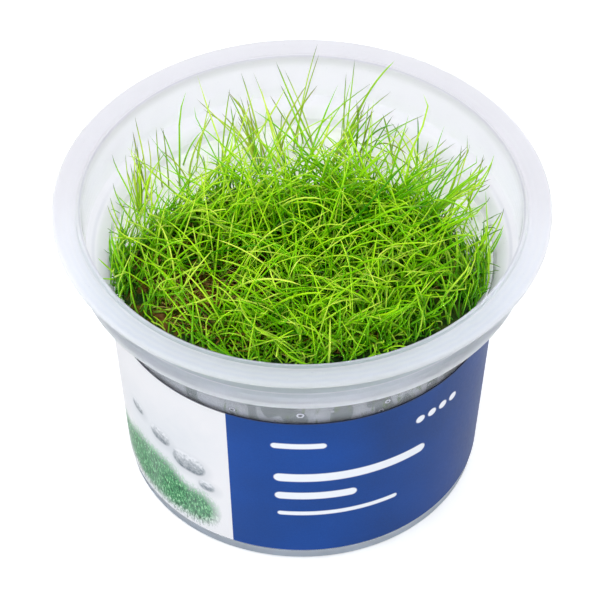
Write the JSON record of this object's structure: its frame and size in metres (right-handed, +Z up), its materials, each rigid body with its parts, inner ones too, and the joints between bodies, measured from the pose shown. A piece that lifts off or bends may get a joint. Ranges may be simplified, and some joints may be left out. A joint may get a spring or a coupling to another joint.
{
  "type": "dwarf hairgrass in a culture cup",
  "caption": "Low turf of fine upright grass leaves growing on clear gel in a round, tapered plastic cup with a wide rim flange and a wrap label.",
  "frame": {"origin": "centre of the cup's underside, where it rests", "axes": "+Z up through the cup's mouth; -Y towards the front, where the label's two fields meet"},
  "size_m": [0.095, 0.095, 0.0768],
  "materials": {
    "milky_plastic": "satin",
    "printed_label": "satin",
    "nutrient_gel": "gloss",
    "hairgrass": "satin"
  },
  "bodies": {
    "root": {"cup": "milky_plastic", "label": "printed_label", "gel": "nutrient_gel", "tuft_01": "hairgrass", "tuft_02": "hairgrass", "tuft_03": "hairgrass", "tuft_04": "hairgrass", "tuft_05": "hairgrass", "tuft_06": "hairgrass", "tuft_07": "hairgrass", "tuft_08": "hairgrass", "tuft_09": "hairgrass", "tuft_10": "hairgrass", "tuft_11": "hairgrass", "tuft_12": "hairgrass", "tuft_13": "hairgrass"}
  },
  "joints": []
}
